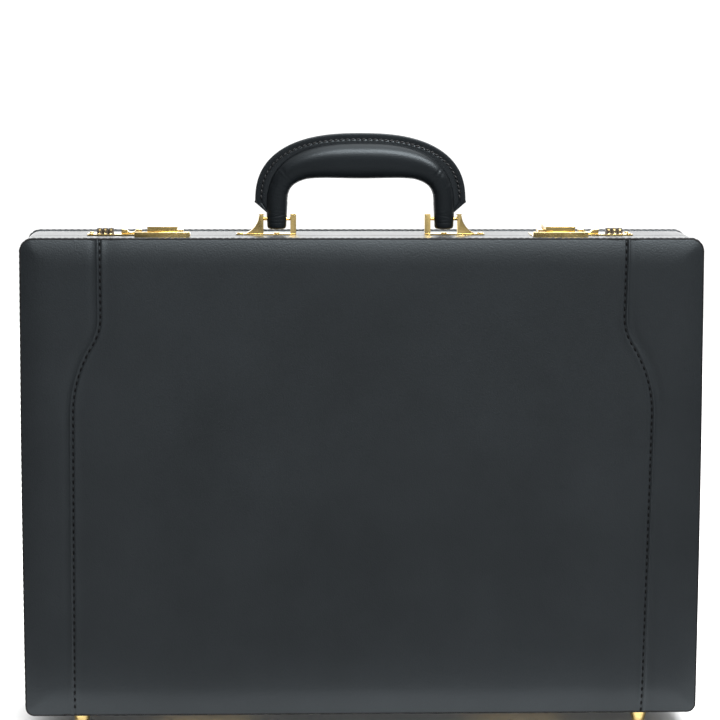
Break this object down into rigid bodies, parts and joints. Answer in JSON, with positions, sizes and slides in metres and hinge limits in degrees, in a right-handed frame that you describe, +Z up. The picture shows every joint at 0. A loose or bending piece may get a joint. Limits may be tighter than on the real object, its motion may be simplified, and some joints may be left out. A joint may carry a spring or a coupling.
{
  "type": "leather briefcase",
  "caption": "Hard-sided leather attache case on brass feet, with a hinged lid, swinging handle and combination locks with hasps.",
  "frame": {"origin": "on the floor under the middle of the standing case, at the bottom centre of its box", "axes": "+X to the right as seen from the lid, -Y towards the lid, +Z up through the handle"},
  "size_m": [0.45, 0.093, 0.395],
  "materials": {
    "case_leather": "semi-gloss black calf leather with fine grain",
    "edge_leather": "sewn black leather edge",
    "handle_leather": "smooth black leather, polished by use",
    "pocket_leather": "soft matt leather",
    "lining_cloth": "brushed suede cloth",
    "case_board": "bare plywood",
    "steel": "plain",
    "dial_metal": "dark knurled number wheels",
    "brass": "polished brass with light wear"
  },
  "bodies": {
    "base": {"base_board": "case_board", "base_centre_panel": "case_leather", "base_closing_lip": "lining_cloth", "base_edge_welt": "edge_leather", "base_feet": "brass", "base_frame": "case_board", "base_hinge_leaves": "brass", "base_hinge_rivets": "brass", "base_left_panel": "case_leather", "base_lining": "lining_cloth", "base_right_panel": "case_leather", "base_stay_pivots": "brass", "base_wall_leather": "case_leather", "dial_axles": "steel", "handle_bracket_rivets": "brass", "handle_brackets": "brass", "handle_pins": "brass", "hasp_pins": "steel", "hinge_pins": "steel", "left_lock_plate": "brass", "lock_cases": "steel", "lock_rivets": "brass", "right_lock_plate": "brass"},
    "handle": {"handle_core": "steel", "handle_flange_back": "edge_leather", "handle_flange_front": "edge_leather", "handle_grip": "handle_leather"},
    "left_base_arm": {"left_base_stay_arm": "brass"},
    "left_button": {"left_button": "brass"},
    "left_dial_1": {"left_dial_1": "dial_metal"},
    "left_dial_2": {"left_dial_2": "dial_metal"},
    "left_dial_3": {"left_dial_3": "dial_metal"},
    "left_hasp": {"left_hasp": "brass"},
    "left_lid_arm": {"left_lid_stay_arm": "brass"},
    "lid": {"lid_board": "case_board", "lid_card_pocket": "pocket_leather", "lid_centre_panel": "case_leather", "lid_edge_welt": "edge_leather", "lid_feet": "brass", "lid_file_pocket": "pocket_leather", "lid_frame": "case_board", "lid_hinge_leaves": "brass", "lid_hinge_rivets": "brass", "lid_left_panel": "case_leather", "lid_lining": "lining_cloth", "lid_right_panel": "case_leather", "lid_stay_pivots": "brass", "lid_wall_leather": "case_leather", "lock_strikes": "brass", "strike_rivets": "brass"},
    "right_base_arm": {"right_base_stay_arm": "brass"},
    "right_button": {"right_button": "brass"},
    "right_dial_1": {"right_dial_1": "dial_metal"},
    "right_dial_2": {"right_dial_2": "dial_metal"},
    "right_dial_3": {"right_dial_3": "dial_metal"},
    "right_hasp": {"right_hasp": "brass"},
    "right_lid_arm": {"right_lid_stay_arm": "brass"}
  },
  "joints": [
    {"name": "lid_hinge", "type": "hinge", "parent": "base", "child": "lid", "pos_m": [0, -0.009, 0.0086], "axis": [1, 0, 0], "range_deg": [0, 100]},
    {"name": "handle_swing", "type": "hinge", "parent": "base", "child": "handle", "pos_m": [0, 0.003, 0.3376], "axis": [1, 0, 0], "range_deg": [-80, 80]},
    {"name": "left_hasp_lift", "type": "hinge", "parent": "base", "child": "left_hasp", "pos_m": [-0.132, 0.007, 0.3318], "axis": [-1, 0, 0], "range_deg": [0, 100]},
    {"name": "left_button_slide", "type": "slide", "parent": "base", "child": "left_button", "axis": [-1, 0, 0], "range_m": [0, 0.0035], "stiffness_N_per_m": 600, "springref_m": -0.0015},
    {"name": "left_dial_1_turn", "type": "hinge", "parent": "base", "child": "left_dial_1", "pos_m": [-0.16645, 0.001, 0.3254], "axis": [1, 0, 0], "continuous": true},
    {"name": "left_dial_2_turn", "type": "hinge", "parent": "base", "child": "left_dial_2", "pos_m": [-0.1702, 0.001, 0.3254], "axis": [1, 0, 0], "continuous": true},
    {"name": "left_dial_3_turn", "type": "hinge", "parent": "base", "child": "left_dial_3", "pos_m": [-0.17395, 0.001, 0.3254], "axis": [1, 0, 0], "continuous": true},
    {"name": "left_base_arm_turn", "type": "hinge", "parent": "base", "child": "left_base_arm", "pos_m": [-0.2153, 0.012, 0.098], "axis": [1, 0, 0], "range_deg": [0, 100]},
    {"name": "left_lid_arm_turn", "type": "hinge", "parent": "lid", "child": "left_lid_arm", "pos_m": [-0.212, -0.026, 0.098], "axis": [1, 0, 0], "range_deg": [-100, 0]},
    {"name": "right_hasp_lift", "type": "hinge", "parent": "base", "child": "right_hasp", "pos_m": [0.132, 0.007, 0.3318], "axis": [-1, 0, 0], "range_deg": [0, 100]},
    {"name": "right_button_slide", "type": "slide", "parent": "base", "child": "right_button", "axis": [1, 0, 0], "range_m": [0, 0.0035], "stiffness_N_per_m": 600, "springref_m": -0.0015},
    {"name": "right_dial_1_turn", "type": "hinge", "parent": "base", "child": "right_dial_1", "pos_m": [0.16645, 0.001, 0.3254], "axis": [1, 0, 0], "continuous": true},
    {"name": "right_dial_2_turn", "type": "hinge", "parent": "base", "child": "right_dial_2", "pos_m": [0.1702, 0.001, 0.3254], "axis": [1, 0, 0], "continuous": true},
    {"name": "right_dial_3_turn", "type": "hinge", "parent": "base", "child": "right_dial_3", "pos_m": [0.17395, 0.001, 0.3254], "axis": [1, 0, 0], "continuous": true},
    {"name": "right_base_arm_turn", "type": "hinge", "parent": "base", "child": "right_base_arm", "pos_m": [0.2153, 0.012, 0.098], "axis": [1, 0, 0], "range_deg": [0, 100]},
    {"name": "right_lid_arm_turn", "type": "hinge", "parent": "lid", "child": "right_lid_arm", "pos_m": [0.212, -0.026, 0.098], "axis": [1, 0, 0], "range_deg": [-100, 0]}
  ],
  "couplings": [
    {"joint": "left_base_arm_turn", "follows": "lid_hinge", "ratio": 1},
    {"joint": "left_lid_arm_turn", "follows": "lid_hinge", "ratio": -1},
    {"joint": "right_base_arm_turn", "follows": "lid_hinge", "ratio": 1},
    {"joint": "right_lid_arm_turn", "follows": "lid_hinge", "ratio": -1}
  ]
}
